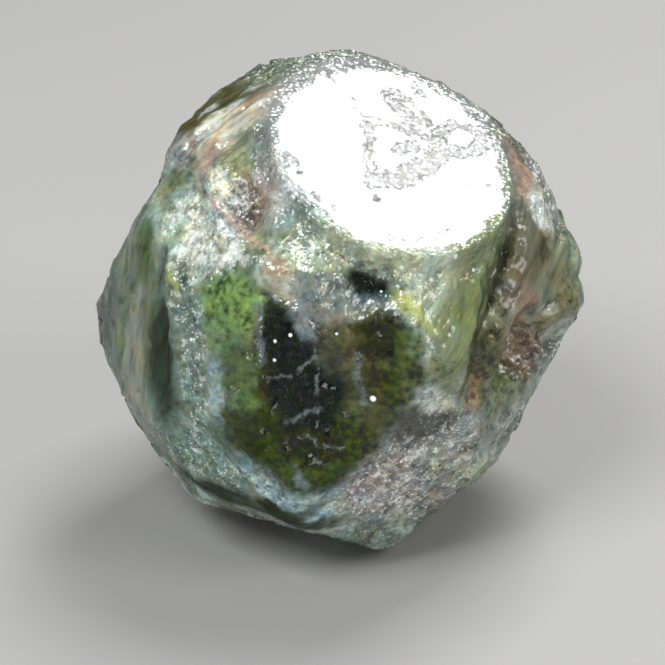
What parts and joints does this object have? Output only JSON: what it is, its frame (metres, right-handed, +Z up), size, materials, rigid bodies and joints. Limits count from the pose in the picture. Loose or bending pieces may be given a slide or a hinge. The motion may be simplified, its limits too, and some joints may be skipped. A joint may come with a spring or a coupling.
{
  "type": "raw garnet crystal",
  "caption": "Rough green grossular crystal: rounded dodecahedral form, one glossy flat face, frosted skin, a clear dark window, iron-stained pits and ledges.",
  "frame": {"origin": "on the face the crystal rests on, under the middle of its bounding box", "axes": "+Z up as the crystal rests, -Y out of its dark window side, +X to the right of that side"},
  "size_m": [0.0362, 0.036, 0.0356],
  "materials": {
    "grossular": "clear green garnet under a frosted, partly iron-stained skin; glossy where the skin is missing"
  },
  "bodies": {
    "root": {"grossular_crystal": "grossular"}
  },
  "joints": []
}
